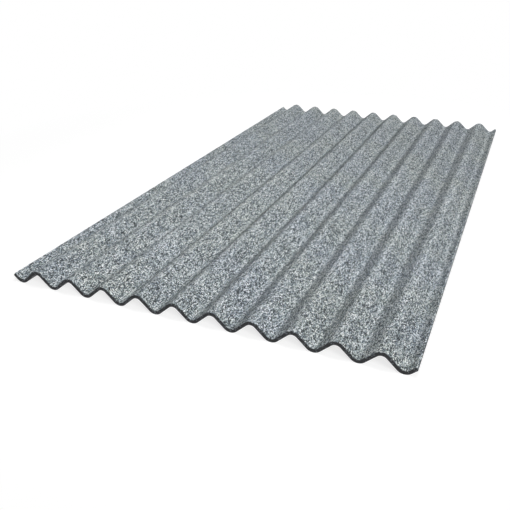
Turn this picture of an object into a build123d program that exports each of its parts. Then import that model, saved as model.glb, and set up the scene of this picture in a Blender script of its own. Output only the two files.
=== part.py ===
"""One corrugated roofing sheet, lying flat with its crests up.

The wave runs across the sheet, along X, and every crest is straight along Y.
Its section is one band of even thickness that follows a row of round bends,
valley and crest in turn, joined by straight flanks that are tangent to both.
The origin is on the ground, under the middle of the sheet.
"""

from build123d import *
import math
import os

# Driving dimensions, in millimetres
PITCH = 76.2
WAVE_DEPTH = 24.7
BEND_RADIUS = 14.5
SHEET_THICKNESS = 6.5
CREST_COUNT = 10
EDGE_FLANK = 12.5
SHEET_LENGTH = 1524.0

# A bend's middle line swings from one flank to the next about a centre this far from mid height
BEND_CENTRE_HEIGHT = WAVE_DEPTH / 2 - BEND_RADIUS

# The valleys rest on the ground, half the overall height below the middle line's mid height
MID_HEIGHT = (WAVE_DEPTH + SHEET_THICKNESS) / 2


def flank_angle():
    """Slope in radians of the straight line that is tangent to a crest bend and the next valley bend."""
    centre_run = PITCH / 2
    centre_drop = 2 * BEND_CENTRE_HEIGHT
    centre_distance = math.hypot(centre_run, centre_drop)
    line_of_centres = math.atan2(centre_drop, centre_run)
    crossing_angle = math.asin(2 * BEND_RADIUS / centre_distance)
    return line_of_centres + crossing_angle


def bend_points(number, lift):
    """First, middle and last point of one bend, on the surface that lies lift above the middle line.

    Bends are numbered from the left edge. Even ones are valleys and odd ones are crests.
    """
    side = 1 if number % 2 else -1
    centre_x = (number - CREST_COUNT) * PITCH / 2
    centre_z = MID_HEIGHT + side * BEND_CENTRE_HEIGHT
    radius = BEND_RADIUS + side * lift
    half_width = radius * math.sin(flank_angle())
    end_z = centre_z + side * radius * math.cos(flank_angle())
    first = (centre_x - half_width, end_z)
    middle = (centre_x, centre_z + side * radius)
    last = (centre_x + half_width, end_z)
    return first, middle, last


def surface_line(lift):
    """Bends and flanks of one face of the sheet, from its left edge to its right edge."""
    edge_run = EDGE_FLANK * math.cos(flank_angle())
    edge_rise = EDGE_FLANK * math.sin(flank_angle())
    bends = [bend_points(number, lift) for number in range(2 * CREST_COUNT + 1)]
    left_bend_x, left_bend_z = bends[0][0]
    right_bend_x, right_bend_z = bends[-1][2]
    left_edge = (left_bend_x - edge_run, left_bend_z + edge_rise)
    right_edge = (right_bend_x + edge_run, right_bend_z + edge_rise)
    pieces = []
    flank_start = left_edge
    for first, middle, last in bends:
        pieces.append(Line(flank_start, first))
        pieces.append(ThreePointArc(first, middle, last))
        flank_start = last
    pieces.append(Line(flank_start, right_edge))
    return Curve() + pieces, left_edge, right_edge


def sheet_section():
    """Closed outline of the sheet's cross-section, cut square to the face at both long edges."""
    top, top_left, top_right = surface_line(SHEET_THICKNESS / 2)
    underside, under_left, under_right = surface_line(-SHEET_THICKNESS / 2)
    left_cut = Line(under_left, top_left)
    right_cut = Line(top_right, under_right)
    outline = top + underside + left_cut + right_cut
    return Plane.XZ * make_face(outline)


def corrugated_sheet():
    """The whole sheet: its section drawn out evenly to both cut ends."""
    return extrude(sheet_section(), amount=SHEET_LENGTH / 2, both=True)


os.makedirs("parts", exist_ok=True)
export_step(corrugated_sheet(), "parts/corrugated_sheet.step")
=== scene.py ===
"""A granule-coated corrugated roofing sheet, lying flat on a pale studio floor.

The body of the sheet is shaped bend by bend, as rollers shape it. Its top face is
covered with separate stone chips in several tones, pressed into a dark coat, and
its underside and cut faces show the bare charcoal of the body.
"""

import logging
import math
from collections.abc import Callable
from dataclasses import dataclass
from enum import Enum, IntEnum

import bmesh
import bpy
import numpy as np
from mathutils import Matrix, Vector


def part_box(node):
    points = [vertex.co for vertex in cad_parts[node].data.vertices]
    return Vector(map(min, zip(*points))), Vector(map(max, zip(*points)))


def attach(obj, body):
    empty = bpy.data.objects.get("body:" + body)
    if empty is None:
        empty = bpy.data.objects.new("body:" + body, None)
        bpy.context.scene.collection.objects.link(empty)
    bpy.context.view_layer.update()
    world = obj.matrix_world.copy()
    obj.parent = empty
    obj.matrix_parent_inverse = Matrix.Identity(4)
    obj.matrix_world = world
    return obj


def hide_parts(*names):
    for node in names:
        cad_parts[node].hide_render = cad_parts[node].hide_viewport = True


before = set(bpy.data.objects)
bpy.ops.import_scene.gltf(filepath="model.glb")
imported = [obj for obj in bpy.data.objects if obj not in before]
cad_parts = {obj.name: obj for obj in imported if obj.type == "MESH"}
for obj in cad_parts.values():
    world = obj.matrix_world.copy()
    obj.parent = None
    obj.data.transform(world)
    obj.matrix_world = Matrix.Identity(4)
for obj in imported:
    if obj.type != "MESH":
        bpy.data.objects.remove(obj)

logging.basicConfig(level=logging.INFO, format="%(name)s: %(message)s")
log = logging.getLogger("sheet")

SHEET_NODE = "corrugated_sheet"
CHIP_SHADE = "shade"
FLAT_MAP = "OFBake"
MM = 0.001

Colour = tuple[float, float, float]
Stops = tuple[tuple[float, Colour], ...]
Socket = bpy.types.NodeSocket


def deselect_all() -> None:
    """Leave nothing selected, so that an operator acts only on what is chosen next."""
    if bpy.context.mode != "OBJECT":
        bpy.ops.object.mode_set(mode="OBJECT")
    bpy.ops.object.select_all(action="DESELECT")


def make_active(thing: bpy.types.Object) -> None:
    """Select one object alone and make it the active one.

    Args:
        thing: The object that the next operators work on.
    """
    deselect_all()
    thing.select_set(True)
    bpy.context.view_layer.objects.active = thing


def apply_modifiers(thing: bpy.types.Object) -> None:
    """Apply every modifier of an object in order.

    Args:
        thing: The object whose modifiers are applied.
    """
    make_active(thing)
    for name in [modifier.name for modifier in thing.modifiers]:
        bpy.ops.object.modifier_apply(modifier=name)


def choose_corners(thing: bpy.types.Object, wanted: Callable[[Vector], bool]) -> None:
    """Select corners of an object by their place, and nothing else.

    Args:
        thing: The object that is being edited.
        wanted: Says of a corner's place whether it is selected.
    """
    bpy.ops.mesh.select_mode(type="VERT")
    bpy.ops.mesh.select_all(action="DESELECT")
    mesh = bmesh.from_edit_mesh(thing.data)
    for corner in mesh.verts:
        corner.select_set(wanted(corner.co))
    mesh.select_flush_mode()
    bmesh.update_edit_mesh(thing.data)


@dataclass(frozen=True)
class WaveProfile:
    """The sheet's cross-section: round bends and straight flanks, tangent to each other.

    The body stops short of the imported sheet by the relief, on its top and its long edges, and the
    stone chips fill that depth.

    Attributes:
        pitch: Distance from crest to crest.
        bend_radius: Radius of every bend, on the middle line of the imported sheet.
        thickness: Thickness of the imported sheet.
        crest_count: Number of crests.
        edge_flank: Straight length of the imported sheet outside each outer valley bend.
        relief: Depth that the stone chips fill.
        half_width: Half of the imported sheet's width.
        height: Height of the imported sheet.
        length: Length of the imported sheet.
    """

    pitch: float = 76.2 * MM
    bend_radius: float = 14.5 * MM
    thickness: float = 6.5 * MM
    crest_count: int = 10
    edge_flank: float = 12.5 * MM
    relief: float = 0.6 * MM
    half_width: float = 402.2 * MM
    height: float = 31.2 * MM
    length: float = 1524.0 * MM

    @classmethod
    def from_frame(cls, node: str) -> "WaveProfile":
        """Take the width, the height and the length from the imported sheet.

        Args:
            node: Name of the sheet's node.

        Returns:
            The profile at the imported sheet's own size.
        """
        low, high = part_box(node)
        return cls(half_width=high.x, height=high.z - low.z, length=high.y - low.y)

    @property
    def bend_count(self) -> int:
        """Valleys and crests together, the two outer valleys included."""
        return 2 * self.crest_count + 1

    @property
    def body_thickness(self) -> float:
        """Thickness of the body under the stone chips."""
        return self.thickness - self.relief

    @property
    def edge_reach(self) -> float:
        """Straight length of the body outside each outer valley bend."""
        return self.edge_flank - self.relief

    @property
    def centre_height(self) -> float:
        """Height of a crest bend's centre above the middle of the wave."""
        return (self.height - self.thickness) / 2 - self.bend_radius

    @property
    def centre_distance(self) -> float:
        """Distance from a crest bend's centre to the next valley bend's centre."""
        return math.hypot(self.pitch / 2, 2 * self.centre_height)

    @property
    def flank_angle(self) -> float:
        """Slope of the straight flanks, in radians."""
        line_of_centres = math.atan2(2 * self.centre_height, self.pitch / 2)
        return line_of_centres + math.asin(2 * self.bend_radius / self.centre_distance)

    @property
    def flank_length(self) -> float:
        """Straight length between two bends."""
        return math.sqrt(self.centre_distance**2 - 4 * self.bend_radius**2)

    def side(self, number: int) -> int:
        """Return 1 for a crest bend and -1 for a valley bend."""
        return 1 if number % 2 else -1

    def bend_centre(self, number: int) -> tuple[float, float]:
        """Find the centre of one bend.

        Args:
            number: Bends are counted from 0 at the left edge.

        Returns:
            The centre's x and z.
        """
        x = (number - self.crest_count) * self.pitch / 2
        return x, self.height / 2 + self.side(number) * self.centre_height

    def underside_radius(self, number: int) -> float:
        """Radius of one bend on the underside."""
        return self.bend_radius - self.side(number) * self.thickness / 2

    def coat_radius(self, number: int) -> float:
        """Radius of one bend on the coat, which lies under the chips by the relief."""
        return self.bend_radius + self.side(number) * (self.thickness / 2 - self.relief)

    def coat_length(self) -> float:
        """Add up the coat's surface line, edge to edge.

        Returns:
            Its length.
        """
        bends = sum(self.coat_radius(number) for number in range(self.bend_count))
        flanks = 2 * self.edge_reach + (self.bend_count - 1) * self.flank_length
        return flanks + 2 * self.flank_angle * bends

    def coat_places(self, run: np.ndarray) -> tuple[np.ndarray, np.ndarray]:
        """Find points on the coat's surface line and the directions square to it.

        Args:
            run: Distances along the line from its left end. Those below 0 or past its length
                lie on the long edges' cut faces, measured down from the corner.

        Returns:
            Points as rows of x and z, and unit normals in the same form.
        """
        angle = self.flank_angle
        points = np.zeros((len(run), 2))
        normals = np.zeros((len(run), 2))
        start = 0.0
        for number in range(self.bend_count):
            touch, along, outward = self._flank(number, -1)
            before = self.flank_length if number else self.edge_reach
            here = (run >= start) & (run < start + before)
            points[here] = touch + (run[here] - start - before)[:, None] * along
            normals[here] = outward
            if number == 0:
                here = run < 0
                points[here] = touch - before * along + run[here][:, None] * outward
                normals[here] = -along
            start += before
            side = self.side(number)
            radius = self.coat_radius(number)
            turned = (run - start) / radius - angle
            here = (run >= start) & (turned < angle)
            swing = turned[here]
            round_bend = np.column_stack([np.sin(swing), side * np.cos(swing)])
            points[here] = np.array(self.bend_centre(number)) + radius * round_bend
            normals[here] = side * round_bend
            start += 2 * angle * radius
        touch, along, outward = self._flank(self.bend_count - 1, 1)
        here = (run >= start) & (run < start + self.edge_reach)
        points[here] = touch + (run[here] - start)[:, None] * along
        normals[here] = outward
        here = run >= start + self.edge_reach
        down = (run[here] - start - self.edge_reach)[:, None]
        points[here] = touch + self.edge_reach * along - down * outward
        normals[here] = along
        return points, normals

    def _flank(self, number: int, end: int) -> tuple[np.ndarray, np.ndarray, np.ndarray]:
        """Find the straight flank that touches a bend.

        Args:
            number: The bend's number.
            end: -1 for the flank on its left, 1 for the flank on its right.

        Returns:
            Where the coat's line touches the bend, the direction to the right along the flank, and
            the direction out of it, each as x and z.
        """
        side = self.side(number)
        swing = end * self.flank_angle
        outward = np.array([side * math.sin(swing), math.cos(swing)])
        along = np.array([math.cos(swing), -side * math.sin(swing)])
        touch = np.array(self.bend_centre(number)) + side * self.coat_radius(number) * outward
        return touch, along, outward


class Nodes:
    """A small helper that lays out the shader nodes of one material or of the world."""

    def __init__(self, owner: bpy.types.Material | bpy.types.World) -> None:
        """Start with no nodes at all.

        Args:
            owner: The material or world that the nodes belong to.
        """
        self.owner = owner
        owner.use_nodes = True
        self.tree = owner.node_tree
        self.tree.nodes.clear()

    @classmethod
    def of_material(cls, name: str) -> "Nodes":
        """Start the nodes of a new material of this name."""
        return cls(bpy.data.materials.new(name))

    def add(self, kind: str, **values: object) -> bpy.types.Node:
        """Add a node and set its properties or its unlinked inputs.

        Args:
            kind: The node's type name in Blender.
            **values: Properties by their own name, or inputs by name with blanks as underscores.

        Returns:
            The new node.
        """
        node = self.tree.nodes.new(kind)
        for key, value in values.items():
            if hasattr(node, key):
                setattr(node, key, value)
            else:
                node.inputs[key.replace("_", " ")].default_value = value
        return node

    def link(self, source: Socket, target: Socket) -> None:
        """Join an output to an input."""
        self.tree.links.new(source, target)

    def texture(self, kind: str, **values: float) -> bpy.types.Node:
        """Add a texture that is fixed to the object's own space.

        Args:
            kind: The texture's type name in Blender.
            **values: Its inputs, as for any node.

        Returns:
            The texture's node.
        """
        place = self.add("ShaderNodeTexCoord")
        pattern = self.add(kind, **values)
        self.link(place.outputs["Object"], pattern.inputs["Vector"])
        return pattern

    def channel(self, colour: Socket, name: str) -> Socket:
        """Take one channel out of a colour.

        Args:
            colour: Output that gives the colour.
            name: Red, Green or Blue.

        Returns:
            The channel's output.
        """
        split = self.add("ShaderNodeSeparateColor")
        self.link(colour, split.inputs["Color"])
        return split.outputs[name]

    def ramp(self, factor: Socket, stops: Stops, steps: bool = False) -> Socket:
        """Turn a number into a colour.

        Args:
            factor: Output that gives the number.
            stops: Positions from 0 to 1 and their linear colours.
            steps: True for flat steps in place of a smooth change.

        Returns:
            The colour output.
        """
        node = self.add("ShaderNodeValToRGB")
        band = node.color_ramp
        band.interpolation = "CONSTANT" if steps else "LINEAR"
        while len(band.elements) < len(stops):
            band.elements.new(1.0)
        for element, (place, colour) in zip(band.elements, stops):
            element.position = place
            element.color = (*colour, 1.0)
        self.link(factor, node.inputs["Fac"])
        return node.outputs["Color"]

    def work_out(self, operation: str, first: Socket | float, second: Socket | float) -> Socket:
        """Work out one number from two, each an output or a plain number.

        Args:
            operation: The operation's name in Blender.
            first: Left-hand value.
            second: Right-hand value.

        Returns:
            The result's output.
        """
        node = self.add("ShaderNodeMath", operation=operation)
        for slot, value in zip(node.inputs, (first, second)):
            if isinstance(value, Socket):
                self.link(value, slot)
            else:
                slot.default_value = value
        return node.outputs["Value"]

    def mix(self, share: Socket | float, first: Socket, second: Socket | Colour,
            kind: str = "MIX") -> Socket:
        """Mix two colours.

        Args:
            share: How much of the second is mixed in, from 0 to 1.
            first: Output that gives the first colour.
            second: The second colour, or the output that gives it.
            kind: How the two are mixed, by its name in Blender.

        Returns:
            The mixed colour's output.
        """
        mixer = self.add("ShaderNodeMix", data_type="RGBA", blend_type=kind)
        self.link(first, mixer.inputs["A"])
        if isinstance(share, Socket):
            self.link(share, mixer.inputs["Factor"])
        else:
            mixer.inputs["Factor"].default_value = share
        if isinstance(second, Socket):
            self.link(second, mixer.inputs["B"])
        else:
            mixer.inputs["B"].default_value = (*second, 1.0)
        return mixer.outputs["Result"]

    def relief(self, height: Socket, depth: float) -> Socket:
        """Give a surface a fine relief.

        Args:
            height: Output that gives the height, from 0 to 1.
            depth: Real height of the relief at 1.

        Returns:
            The output of the roughened surface's normals.
        """
        bump = self.add("ShaderNodeBump", Distance=depth)
        self.link(height, bump.inputs["Height"])
        return bump.outputs["Normal"]

    def matt(self, colour: Socket, roughness: float, normal: Socket | None = None) -> Socket:
        """Make the shader of a dry, matt body.

        Args:
            colour: Output that gives its colour.
            roughness: How dull it is, up to 1.
            normal: Output that gives its relief's normals, where it has a relief.

        Returns:
            The shader's output.
        """
        body = self.add("ShaderNodeBsdfPrincipled", Roughness=roughness)
        self.link(colour, body.inputs["Base Color"])
        if normal is not None:
            self.link(normal, body.inputs["Normal"])
        return body.outputs["BSDF"]

    def blend(self, share: Socket, first: Socket, second: Socket) -> Socket:
        """Mix two shaders.

        Args:
            share: Output that gives 0 for the first, 1 for the second or a number between.
            first: The first shader's output.
            second: The second shader's output.

        Returns:
            The mixed shader's output.
        """
        mixer = self.add("ShaderNodeMixShader")
        self.link(share, mixer.inputs["Fac"])
        self.link(first, mixer.inputs[1])
        self.link(second, mixer.inputs[2])
        return mixer.outputs["Shader"]

    def seen_directly(self) -> Socket:
        """Tell rays that see the surface from rays that only carry its light.

        Returns:
            An output of 1 for rays from the camera, off gloss or through glass, and 0 for others.
        """
        path = self.add("ShaderNodeLightPath")
        seen = self.work_out("MAXIMUM", path.outputs["Is Camera Ray"], path.outputs["Is Glossy Ray"])
        return self.work_out("MAXIMUM", seen, path.outputs["Is Transmission Ray"])

    def finish(self, shader: Socket) -> bpy.types.Material | bpy.types.World:
        """Join the last shader to the output.

        Args:
            shader: The last shader's output.

        Returns:
            The finished material or world.
        """
        world = isinstance(self.owner, bpy.types.World)
        output = self.add("ShaderNodeOutputWorld" if world else "ShaderNodeOutputMaterial")
        self.link(shader, output.inputs["Surface"])
        return self.owner


class ChipTone(Enum):
    """The tones of stone that are mixed on the top face."""

    PALE = "pale"
    LIGHT = "light"
    GREEN = "green"
    BLUE = "blue"
    DARK = "dark"


@dataclass(frozen=True)
class ChipFinish:
    """Dry crushed stone of one tone, a little lighter or darker from chip to chip.

    Attributes:
        tone: The tone's name.
        shaded: Colour of its darkest chips.
        bright: Colour of its lightest chips.
        roughness: How dull the stone is.
        drift_per_metre: How many times the cast comes and goes along a metre.
        casts: Green-grey and blue-grey, and how far the drift goes to reach each.
    """

    tone: ChipTone
    shaded: Colour
    bright: Colour
    roughness: float = 0.82
    drift_per_metre: float = 6.0
    casts: Stops = ((0.38, (1.0, 1.0, 0.965)), (0.62, (0.955, 0.965, 1.0)))

    def material(self) -> bpy.types.Material:
        """Make the stone's material: its shade goes by chip, and its cast drifts over the sheet.

        Returns:
            The material.
        """
        nodes = Nodes.of_material(f"{self.tone.value}_stone")
        shade = nodes.add("ShaderNodeAttribute", attribute_name=CHIP_SHADE)
        colour = nodes.ramp(shade.outputs["Fac"], ((0.0, self.shaded), (1.0, self.bright)))
        drift = nodes.texture("ShaderNodeTexNoise", Scale=self.drift_per_metre, Detail=2.0)
        cast = nodes.ramp(drift.outputs["Fac"], self.casts)
        tinted = nodes.mix(1.0, colour, cast, kind="MULTIPLY")
        return nodes.finish(nodes.matt(tinted, self.roughness))


@dataclass(frozen=True)
class CoatFinish:
    """The coat between the chips: fine grit of mixed tones, bedded in dark binder.

    Attributes:
        grit_per_metre: Grains along a metre.
        grit_height: How far a grain stands out of the binder.
        roughness: How dull the coat is.
        tones: The grains' colours, each from a share of the grains up to the next one's share.
    """

    grit_per_metre: float = 650.0
    grit_height: float = 0.35 * MM
    roughness: float = 0.9
    tones: Stops = (
        (0.0, (0.020, 0.023, 0.026)),
        (0.45, (0.045, 0.052, 0.058)),
        (0.75, (0.16, 0.19, 0.20)),
        (0.90, (0.42, 0.47, 0.50)),
    )

    def material(self) -> bpy.types.Material:
        """Make the coat's material from cells in the sheet's own space.

        Returns:
            The material.
        """
        nodes = Nodes.of_material("grit_coat")
        cells = nodes.texture("ShaderNodeTexVoronoi", Scale=self.grit_per_metre)
        colour = nodes.ramp(nodes.channel(cells.outputs["Color"], "Red"), self.tones, steps=True)
        height = nodes.work_out("SUBTRACT", 1.0, cells.outputs["Distance"])
        grit = nodes.relief(height, self.grit_height)
        return nodes.finish(nodes.matt(colour, self.roughness, grit))


@dataclass(frozen=True)
class CutFinish:
    """A cut face: charcoal body with torn grain and a few stone flecks.

    Attributes:
        grain_per_metre: Torn grains along a metre.
        grain_height: How far the grain stands out.
        charcoal: The body's darkest and lightest colour, and where in the grain each begins.
        cells_per_metre: Places along a metre where a fleck may sit.
        fleck_share: Share of those places that hold one.
        fleck: The flecks' colour.
        roughness: How dull the cut is.
    """

    grain_per_metre: float = 700.0
    grain_height: float = 0.3 * MM
    charcoal: Stops = ((0.30, (0.004, 0.005, 0.006)), (0.72, (0.028, 0.030, 0.034)))
    cells_per_metre: float = 520.0
    fleck_share: float = 0.12
    fleck: Colour = (0.10, 0.11, 0.12)
    roughness: float = 0.85

    def material(self) -> bpy.types.Material:
        """Make the cut face's material from noise and flecks in the sheet's own space.

        Returns:
            The material.
        """
        nodes = Nodes.of_material("cut_charcoal")
        grain = nodes.texture(
            "ShaderNodeTexNoise", Scale=self.grain_per_metre, Detail=3.0, Roughness=0.65
        )
        body = nodes.ramp(grain.outputs["Fac"], self.charcoal)
        cells = nodes.texture("ShaderNodeTexVoronoi", Scale=self.cells_per_metre)
        chance = nodes.channel(cells.outputs["Color"], "Green")
        flecked = nodes.work_out("GREATER_THAN", chance, 1.0 - self.fleck_share)
        colour = nodes.mix(flecked, body, self.fleck)
        torn = nodes.relief(grain.outputs["Fac"], self.grain_height)
        return nodes.finish(nodes.matt(colour, self.roughness, torn))


@dataclass(frozen=True)
class UndersideFinish:
    """The bare underside: dull charcoal, faintly mottled and dimpled.

    Attributes:
        mottle_per_metre: How many times the mottling comes and goes along a metre.
        mottle: Its darkest and lightest colour, and where in the mottling each begins.
        dimples_per_metre: Dimples along a metre.
        dimple_height: Depth of the dimples.
        roughness: How dull the underside is.
    """

    mottle_per_metre: float = 14.0
    mottle: Stops = ((0.35, (0.022, 0.024, 0.028)), (0.68, (0.048, 0.052, 0.058)))
    dimples_per_metre: float = 380.0
    dimple_height: float = 0.12 * MM
    roughness: float = 0.7

    def material(self) -> bpy.types.Material:
        """Make the underside's material from two noises in the sheet's own space.

        Returns:
            The material.
        """
        nodes = Nodes.of_material("bare_charcoal")
        clouds = nodes.texture(
            "ShaderNodeTexNoise", Scale=self.mottle_per_metre, Detail=5.0, Roughness=0.6
        )
        colour = nodes.ramp(clouds.outputs["Fac"], self.mottle)
        dimples = nodes.texture("ShaderNodeTexNoise", Scale=self.dimples_per_metre, Detail=2.0)
        dimpled = nodes.relief(dimples.outputs["Fac"], self.dimple_height)
        return nodes.finish(nodes.matt(colour, self.roughness, dimpled))


class BodyFace(IntEnum):
    """The kinds of face on the body, numbered in the order of its materials."""

    COAT = 0
    CUT = 1
    UNDERSIDE = 2


@dataclass
class SheetBody:
    """The body of the sheet, up to the level that the stone chips are bedded in.

    Attributes:
        profile: The sheet's cross-section.
        bend_steps: Facets round each bend.
        weld: Corners closer together than this become one.
        arris: Width of the broken arrises.
        arris_steps: Facets across an arris.
        arris_angle: Faces that meet at more degrees than this have an arris between them.
        smooth_angle: Faces that meet at fewer degrees than this look like one.
        rim: Width of the strip at each cut end that is free of coat.
        slope_limit: How far down a face's normal points before the face is underside.
    """

    profile: WaveProfile
    bend_steps: int = 12
    weld: float = 0.001 * MM
    arris: float = 0.3 * MM
    arris_steps: int = 2
    arris_angle: float = 60.0
    smooth_angle: float = 30.0
    rim: float = 1.3 * MM
    slope_limit: float = 0.5

    def build(self) -> bpy.types.Object:
        """Shape the body along its underside, give it its thickness and dress it.

        Returns:
            The finished body.
        """
        body = self._first_flank()
        self._roll_bends(body)
        self._thicken(body)
        self._mark_rims(body)
        self._dress(body)
        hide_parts(SHEET_NODE)
        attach(body, "root")
        return body

    def _first_flank(self) -> bpy.types.Object:
        """Lay down the turned-up left edge as a narrow plane along the sheet.

        Returns:
            The plane, which becomes the body.
        """
        shape = self.profile
        angle = shape.flank_angle
        centre_x, centre_z = shape.bend_centre(0)
        radius = shape.underside_radius(0)
        touch = Vector((centre_x - radius * math.sin(angle), 0.0, centre_z - radius * math.cos(angle)))
        middle = touch + Vector((-math.cos(angle), 0.0, math.sin(angle))) * (shape.edge_reach / 2)
        deselect_all()
        bpy.ops.mesh.primitive_plane_add(size=1.0, location=middle, rotation=(0.0, angle, 0.0))
        body = bpy.context.object
        body.name = "sheet_body"
        body.data.name = "sheet_body"
        body.scale = (shape.edge_reach, shape.length, 1.0)
        bpy.ops.object.transform_apply(location=True, rotation=True, scale=True)
        return body

    def _roll_bends(self, body: bpy.types.Object) -> None:
        """Spin each bend and draw out each flank, from the left edge to the right one.

        Args:
            body: The plane of the left edge, which grows into the whole underside.
        """
        shape = self.profile
        angle = shape.flank_angle
        make_active(body)
        front = max(corner.co.x for corner in body.data.vertices)
        bpy.ops.object.mode_set(mode="EDIT")
        choose_corners(body, lambda place: place.x > front - self.weld)
        bpy.ops.mesh.select_mode(type="EDGE")
        for number in range(shape.bend_count):
            side = shape.side(number)
            centre_x, centre_z = shape.bend_centre(number)
            bpy.ops.mesh.spin(
                steps=self.bend_steps,
                angle=-side * 2 * angle,
                center=(centre_x, 0.0, centre_z),
                axis=(0.0, 1.0, 0.0),
            )
            last = number == shape.bend_count - 1
            reach = shape.edge_reach if last else shape.flank_length
            step = (reach * math.cos(angle), 0.0, -side * reach * math.sin(angle))
            bpy.ops.mesh.extrude_region_move(TRANSFORM_OT_translate={"value": step})
        bpy.ops.mesh.select_all(action="SELECT")
        bpy.ops.mesh.remove_doubles(threshold=self.weld)
        bpy.ops.mesh.normals_make_consistent(inside=False)
        bpy.ops.object.mode_set(mode="OBJECT")
        if sum(face.normal.z * face.area for face in body.data.polygons) < 0:
            bpy.ops.object.mode_set(mode="EDIT")
            bpy.ops.mesh.flip_normals()
            bpy.ops.object.mode_set(mode="OBJECT")

    def _thicken(self, body: bpy.types.Object) -> None:
        """Give the body its thickness above the underside, and break its arrises.

        Args:
            body: The underside surface, normals up.
        """
        wall = body.modifiers.new("wall", "SOLIDIFY")
        wall.thickness = self.profile.body_thickness
        wall.offset = 1.0
        wall.use_even_offset = True
        rounding = body.modifiers.new("arrises", "BEVEL")
        rounding.width = self.arris
        rounding.segments = self.arris_steps
        rounding.limit_method = "ANGLE"
        rounding.angle_limit = math.radians(self.arris_angle)
        apply_modifiers(body)
        bpy.ops.object.mode_set(mode="EDIT")
        bpy.ops.mesh.select_all(action="SELECT")
        bpy.ops.mesh.normals_make_consistent(inside=False)
        bpy.ops.object.mode_set(mode="OBJECT")
        bpy.ops.object.shade_smooth_by_angle(angle=math.radians(self.smooth_angle))

    def _mark_rims(self, body: bpy.types.Object) -> None:
        """Cut a line round the body near each end, up to which the sheet is free of coat.

        Args:
            body: The closed body.
        """
        make_active(body)
        bpy.ops.object.mode_set(mode="EDIT")
        for end in (-1, 1):
            bpy.ops.mesh.select_all(action="SELECT")
            line = (0.0, end * (self.profile.length / 2 - self.rim), 0.0)
            bpy.ops.mesh.bisect(plane_co=line, plane_no=(0.0, 1.0, 0.0))
        bpy.ops.object.mode_set(mode="OBJECT")

    def _dress(self, body: bpy.types.Object) -> None:
        """Give the top, the cut ends and the underside their own finishes.

        Args:
            body: The closed body.
        """
        body.data.materials.clear()
        for finish in (CoatFinish(), CutFinish(), UndersideFinish()):
            body.data.materials.append(finish.material())
        stripped = self.profile.length / 2 - self.rim
        for face in body.data.polygons:
            if face.normal.z < -self.slope_limit:
                face.material_index = BodyFace.UNDERSIDE
            elif abs(face.center.y) > stripped:
                face.material_index = BodyFace.CUT
            else:
                face.material_index = BodyFace.COAT


@dataclass(frozen=True)
class ChipPattern:
    """The one chip that all the others are copies of.

    Attributes:
        corners: Its corners as rows of x, y and z, each from -1 to 1.
        faces: Its triangles as rows of corner numbers.
        layout: Each triangle's three places on a flat map from 0 to 1.
    """

    corners: np.ndarray
    faces: np.ndarray
    layout: np.ndarray


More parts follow.
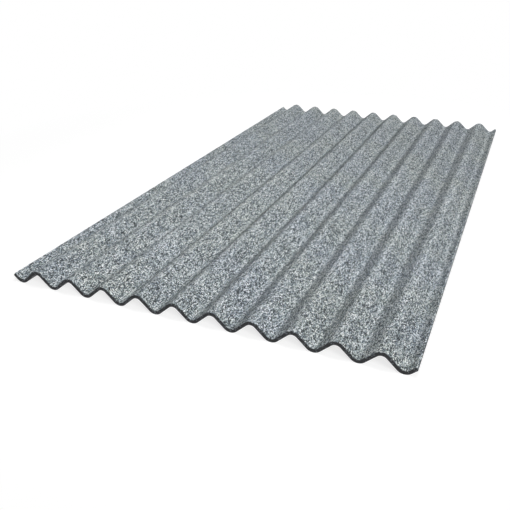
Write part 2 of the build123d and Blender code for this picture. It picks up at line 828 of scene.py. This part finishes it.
@dataclass
class StoneChips:
    """Crushed stone chips bedded all over the top face and the long edges, one piece for each tone.

    Attributes:
        profile: The sheet's cross-section.
        spacing_across: Room for a chip across the sheet, as seen from above.
        spacing_along: Room for a chip along the sheet.
        tip_shift: How far the pattern chip's tip is off its middle.
        half_width: Half of a chip's width across the sheet, least and most.
        half_length: Half of a chip's length along the sheet, least and most.
        corner_reach: How far out a corner is broken, as a share, least and most.
        rise: How far a chip stands out of the coat, least and most.
        corner_rise: How high a corner is broken, as a share, least and most.
        bury: Depth of a chip's tip in the coat.
        end_margin: Distance of the outermost chips' middles from a cut end.
        bare_rim: No chip comes nearer to a cut end than this.
        edge_depth: How far down the long edges' cut faces the chips go.
        line_points: Points along the coat's line at which its slope is taken.
        clustering: How much of a chip's tone it shares with its two neighbours along the sheet.
        neighbour_weight: Makes up for the mean of three draws, which varies less than one draw.
        map_gap: Room between the pattern chip's faces on the flat map.
        map_margin: Empty edge round each chip's square of the flat map, as a share of it.
        scatter_seed: Seed of the chips' places and tones.
        chip_seed: Seed of the first tone's chips. Each next tone takes the next number.
        finishes: The tones' finishes, from dark to pale.
    """

    profile: WaveProfile
    spacing_across: float = 1.62 * MM
    spacing_along: float = 3.10 * MM
    tip_shift: tuple[float, float, float] = (0.15, -0.10, 0.0)
    half_width: tuple[float, float] = (1.2 * MM, 2.0 * MM)
    half_length: tuple[float, float] = (1.7 * MM, 2.8 * MM)
    corner_reach: tuple[float, float] = (0.75, 1.2)
    rise: tuple[float, float] = (0.15 * MM, 0.50 * MM)
    corner_rise: tuple[float, float] = (0.8, 1.2)
    bury: float = 0.3 * MM
    end_margin: float = 2.0 * MM
    bare_rim: float = 0.6 * MM
    edge_depth: float = 4.0 * MM
    line_points: int = 20000
    clustering: float = 0.3
    neighbour_weight: float = 1.7
    map_gap: float = 0.08
    map_margin: float = 0.06
    scatter_seed: int = 7
    chip_seed: int = 17
    finishes: tuple[ChipFinish, ...] = (
        ChipFinish(ChipTone.DARK, (0.030, 0.036, 0.042), (0.10, 0.12, 0.13)),
        ChipFinish(ChipTone.BLUE, (0.17, 0.21, 0.25), (0.30, 0.35, 0.40)),
        ChipFinish(ChipTone.GREEN, (0.28, 0.33, 0.33), (0.44, 0.50, 0.49)),
        ChipFinish(ChipTone.LIGHT, (0.48, 0.54, 0.57), (0.66, 0.71, 0.74)),
        ChipFinish(ChipTone.PALE, (0.72, 0.77, 0.79), (0.88, 0.91, 0.92)),
    )

    def build(self) -> list[bpy.types.Object]:
        """Shape one chip, spread its copies over the sheet and sort them by tone.

        Returns:
            One piece for each tone.
        """
        pattern = self._pattern()
        places, normals, tones = self._scatter()
        pieces = []
        for index, finish in enumerate(self.finishes):
            chosen = np.flatnonzero(tones == index)
            piece = self._piece(finish, pattern, places[chosen], normals[chosen], index)
            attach(piece, "root")
            pieces.append(piece)
        return pieces

    def _pattern(self) -> ChipPattern:
        """Shape the pattern chip, a three-cornered splinter that lies tip down, and map it flat.

        Returns:
            The pattern.
        """
        deselect_all()
        bpy.ops.mesh.primitive_cone_add(vertices=3, radius1=0.0, radius2=1.0, depth=2.0)
        chip = bpy.context.object
        bpy.ops.object.mode_set(mode="EDIT")
        choose_corners(chip, lambda place: place.z < 0.0)
        bpy.ops.transform.translate(value=self.tip_shift)
        bpy.ops.mesh.select_all(action="SELECT")
        bpy.ops.mesh.quads_convert_to_tris(ngon_method="BEAUTY")
        bpy.ops.mesh.normals_make_consistent(inside=False)
        bpy.ops.uv.smart_project(island_margin=self.map_gap, scale_to_bounds=True)
        bpy.ops.object.mode_set(mode="OBJECT")
        mesh = chip.data
        corners = np.array([vert.co for vert in mesh.vertices])
        faces = np.array([face.vertices for face in mesh.polygons])
        flat = mesh.uv_layers.active.uv
        layout = np.array([[flat[loop].vector for loop in face.loop_indices] for face in mesh.polygons])
        bpy.data.objects.remove(chip, do_unlink=True)
        return ChipPattern(corners, faces, layout)

    def _scatter(self) -> tuple[np.ndarray, np.ndarray, np.ndarray]:
        """Spread chips evenly but irregularly over the sheet, and give each a tone.

        Returns:
            Places and unit normals as rows of x, y and z, and the number of each chip's tone.
        """
        shape = self.profile
        rng = np.random.default_rng(self.scatter_seed)
        along = shape.length - 2 * self.end_margin
        columns = int(2 * shape.half_width / self.spacing_across)
        rows = int(along / self.spacing_along)
        column, row = np.meshgrid(np.arange(columns), np.arange(rows))
        jitter = rng.uniform(0.0, 1.0, (2, rows, columns))
        run = self._landing_runs(((column + jitter[0]) / columns).ravel())
        y = (self.end_margin + (row + jitter[1]) * along / rows).ravel() - shape.length / 2
        points, outward = shape.coat_places(run)
        places = np.column_stack([points[:, 0], y, points[:, 1]])
        normals = np.column_stack([outward[:, 0], np.zeros(len(y)), outward[:, 1]])
        return places, normals, self._tones(rng.uniform(0.0, 1.0, (rows, columns)))

    def _tones(self, paleness: np.ndarray) -> np.ndarray:
        """Sort the chips into tones of equal number, neighbours along the sheet a little alike.

        Args:
            paleness: A random number for each chip, in rows across the sheet.

        Returns:
            The number of each chip's tone.
        """
        shared = (paleness + np.roll(paleness, 1, axis=0) + np.roll(paleness, -1, axis=0)) / 3
        pull = self.clustering * self.neighbour_weight
        order = np.argsort((1 - self.clustering) * paleness + pull * shared, axis=None)
        tones = np.empty(len(order), dtype=int)
        tones[order] = np.arange(len(order)) * len(self.finishes) // len(order)
        return tones

    def _landing_runs(self, share: np.ndarray) -> np.ndarray:
        """Find where chips that fall straight down land on the coat, so that steep flanks catch fewer.

        Args:
            share: Shares of the sheet's width as seen from above, from 0 to 1.

        Returns:
            Distances along the coat's surface line.
        """
        end = self.profile.coat_length() + self.edge_depth
        line = np.linspace(-self.edge_depth, end, self.line_points)
        upward = self.profile.coat_places(line)[1][:, 1]
        caught = np.cumsum(upward)
        return np.interp(share, (caught - caught[0]) / (caught[-1] - caught[0]), line)

    def _piece(self, finish: ChipFinish, pattern: ChipPattern, places: np.ndarray,
               normals: np.ndarray, index: int) -> bpy.types.Object:
        """Join the chips of one tone into one piece.

        Args:
            finish: The tone's finish.
            pattern: The pattern chip.
            places: Where each chip lies on the coat.
            normals: The coat's outward direction at each chip.
            index: Number of the tone, which seeds its chips.

        Returns:
            The joined piece.
        """
        rng = np.random.default_rng(self.chip_seed + index)
        count = len(places)
        placed = self._bed(pattern, places, normals, rng)
        first = np.arange(count) * len(pattern.corners)
        triangles = (pattern.faces[None, :, :] + first[:, None, None]).reshape(-1, 3)
        name = f"{finish.tone.value}_chips"
        mesh = bpy.data.meshes.new(name)
        mesh.from_pydata(placed.reshape(-1, 3), [], triangles)
        mesh.update()
        shade = mesh.attributes.new(CHIP_SHADE, "FLOAT", "POINT")
        shades = np.repeat(rng.uniform(0.0, 1.0, count), len(pattern.corners))
        shade.data.foreach_set("value", shades.astype(np.float32))
        self._lay_out(mesh, pattern, count)
        mesh.materials.append(finish.material())
        piece = bpy.data.objects.new(name, mesh)
        bpy.context.scene.collection.objects.link(piece)
        return piece

    def _bed(self, pattern: ChipPattern, places: np.ndarray, normals: np.ndarray,
             rng: np.random.Generator) -> np.ndarray:
        """Turn and break each chip in its own way, and press it into the coat.

        Args:
            pattern: The pattern chip.
            places: Where each chip lies on the coat.
            normals: The coat's outward direction at each chip.
            rng: Gives the chips' differences.

        Returns:
            The corners of each chip, as rows of x, y and z.
        """
        count = len(places)
        size = (count, len(pattern.corners))
        turn = rng.uniform(0.0, 2 * math.pi, count)[:, None]
        reach = rng.uniform(*self.corner_reach, size)
        corner_x, corner_y, corner_z = pattern.corners.T
        x = (corner_x * np.cos(turn) - corner_y * np.sin(turn)) * reach
        y = (corner_x * np.sin(turn) + corner_y * np.cos(turn)) * reach
        x = x * rng.uniform(*self.half_width, (count, 1))
        y = y * rng.uniform(*self.half_length, (count, 1))
        rise = rng.uniform(*self.rise, (count, 1)) * rng.uniform(*self.corner_rise, size)
        z = np.where(corner_z > 0, rise, -self.bury)
        across = np.column_stack([normals[:, 2], np.zeros(count), -normals[:, 0]])
        placed = (
            places[:, None, :]
            + x[:, :, None] * across[:, None, :]
            + y[:, :, None] * np.array([0.0, 1.0, 0.0])
            + z[:, :, None] * normals[:, None, :]
        )
        side = self.profile.half_width
        end = self.profile.length / 2 - self.bare_rim
        return np.clip(placed, (-side, -end, 0.0), (side, end, self.profile.height))

    def _lay_out(self, mesh: bpy.types.Mesh, pattern: ChipPattern, count: int) -> None:
        """Give each chip a square of its own on the piece's flat map.

        Args:
            mesh: The joined chips.
            pattern: The pattern chip.
            count: How many chips are joined.
        """
        squares = math.ceil(math.sqrt(count))
        number = np.arange(count)
        corner = np.column_stack([number % squares, number // squares])
        chip = self.map_margin + (1 - 2 * self.map_margin) * pattern.layout
        places = corner[:, None, None, :] + chip[None, :, :, :]
        flat = mesh.uv_layers.new(name=FLAT_MAP)
        flat.uv.foreach_set("vector", (places / squares).astype(np.float32).ravel())


@dataclass(frozen=True)
class Lamp:
    """A soft square lamp that faces the middle of the sheet.

    Attributes:
        name: The lamp's name.
        place: Where it hangs.
        width: Its width in metres.
        power: Its power in watts.
    """

    name: str
    place: tuple[float, float, float]
    width: float
    power: float


@dataclass
class Studio:
    """A pale floor, soft lamps and the camera.

    Attributes:
        floor_half: Half of the floor's width.
        floor_colour: The floor's colour for the light that it throws back.
        shadow_colour: The part of the seen floor's colour that shows shadows.
        floor_glow: The rest of the seen floor's brightness, which no shadow takes away.
        shadow_reach: Distance from the middle up to which the floor shows shadows.
        white_reach: Distance from the middle beyond which the floor is plain white.
        camera_place: Where the camera stands.
        camera_turn: Degrees that the camera is turned to the left.
        camera_dip: Degrees that the camera looks down.
        camera_roll: Degrees that the camera is tilted to its left.
        focal_length_mm: Focal length of the lens.
        sensor_width_mm: Width of the sensor.
        clip_start: Nothing nearer to the camera than this is seen.
        clip_end: Nothing farther from the camera than this is seen.
        sky_strength: How strongly the surroundings light the sheet.
        lamps: The lamps.
    """

    floor_half: float = 8.0
    floor_colour: Colour = (0.86, 0.86, 0.86)
    shadow_colour: Colour = (0.34, 0.34, 0.34)
    floor_glow: float = 0.78
    shadow_reach: float = 0.88
    white_reach: float = 1.2
    camera_place: tuple[float, float, float] = (0.4841, -1.6247, 0.6264)
    camera_turn: float = 22.75
    camera_dip: float = 26.44
    camera_roll: float = 0.341
    focal_length_mm: float = 45.53
    sensor_width_mm: float = 36.0
    clip_start: float = 0.05
    clip_end: float = 50.0
    sky_strength: float = 0.12
    lamps: tuple[Lamp, ...] = (
        Lamp("back_lamp", (0.30, 2.60, 1.60), 1.0, 38.0),
        Lamp("near_lamp", (0.20, -0.50, 1.20), 0.6, 8.0),
        Lamp("side_lamp", (4.00, -3.60, 3.20), 2.0, 200.0),
    )

    def build(self) -> None:
        """Make the floor, the sky, the lamps and the camera."""
        self._floor()
        self._sky()
        for lamp in self.lamps:
            self._hang(lamp)
        self._camera()
        bpy.context.scene.view_settings.view_transform = "Standard"

    def _floor(self) -> None:
        """Lay a wide pale floor that shows white but keeps the sheet's shadow."""
        deselect_all()
        bpy.ops.mesh.primitive_plane_add(size=2 * self.floor_half)
        floor = bpy.context.object
        floor.name = "studio_floor"
        nodes = Nodes.of_material("pale_floor")
        paint = nodes.add("ShaderNodeBsdfDiffuse", Color=(*self.floor_colour, 1.0))
        thin = nodes.add("ShaderNodeBsdfDiffuse", Color=(*self.shadow_colour, 1.0))
        glow = nodes.add("ShaderNodeEmission", Strength=self.floor_glow)
        white = nodes.add("ShaderNodeEmission", Strength=1.0)
        near = nodes.add("ShaderNodeAddShader")
        nodes.link(thin.outputs["BSDF"], near.inputs[0])
        nodes.link(glow.outputs["Emission"], near.inputs[1])
        place = nodes.add("ShaderNodeTexCoord")
        away = nodes.add("ShaderNodeVectorMath", operation="LENGTH")
        nodes.link(place.outputs["Object"], away.inputs[0])
        spread = nodes.add(
            "ShaderNodeMapRange", From_Min=self.shadow_reach, From_Max=self.white_reach
        )
        nodes.link(away.outputs["Value"], spread.inputs["Value"])
        shown = nodes.blend(spread.outputs["Result"], near.outputs["Shader"], white.outputs["Emission"])
        floor.data.materials.append(
            nodes.finish(nodes.blend(nodes.seen_directly(), paint.outputs["BSDF"], shown))
        )

    def _sky(self) -> None:
        """Surround the set with white that is seen but lights only a little."""
        world = bpy.data.worlds.new("studio_sky")
        bpy.context.scene.world = world
        nodes = Nodes(world)
        white = (1.0, 1.0, 1.0, 1.0)
        soft = nodes.add("ShaderNodeBackground", Color=white, Strength=self.sky_strength)
        seen = nodes.add("ShaderNodeBackground", Color=white, Strength=1.0)
        nodes.finish(
            nodes.blend(nodes.seen_directly(), soft.outputs["Background"], seen.outputs["Background"])
        )

    def _hang(self, lamp: Lamp) -> None:
        """Hang one lamp.

        Args:
            lamp: Its place, width and power.
        """
        light = bpy.data.lights.new(lamp.name, "AREA")
        light.shape = "SQUARE"
        light.size = lamp.width
        light.energy = lamp.power
        thing = bpy.data.objects.new(lamp.name, light)
        bpy.context.scene.collection.objects.link(thing)
        thing.location = lamp.place
        thing.rotation_euler = (-Vector(lamp.place)).to_track_quat("-Z", "Y").to_euler()

    def _camera(self) -> None:
        """Set the camera where the picture was taken from, lens and tilt included."""
        lens = bpy.data.cameras.new("camera")
        lens.sensor_fit = "HORIZONTAL"
        lens.sensor_width = self.sensor_width_mm
        lens.lens = self.focal_length_mm
        lens.clip_start = self.clip_start
        lens.clip_end = self.clip_end
        camera = bpy.data.objects.new("camera", lens)
        bpy.context.scene.collection.objects.link(camera)
        turn = Matrix.Rotation(math.radians(self.camera_turn), 3, "Z")
        dip = Matrix.Rotation(math.radians(90.0 - self.camera_dip), 3, "X")
        roll = Matrix.Rotation(math.radians(self.camera_roll), 3, "Z")
        camera.rotation_euler = (turn @ dip @ roll).to_euler()
        camera.location = self.camera_place
        bpy.context.scene.camera = camera


def main() -> None:
    """Build the sheet and its studio in order, and report each piece."""
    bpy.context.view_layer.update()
    profile = WaveProfile.from_frame(SHEET_NODE)
    pieces = [SheetBody(profile).build(), *StoneChips(profile).build()]
    for piece in pieces:
        log.info("%s has %d faces", piece.name, len(piece.data.polygons))
    Studio().build()


if __name__ == "__main__":
    main()
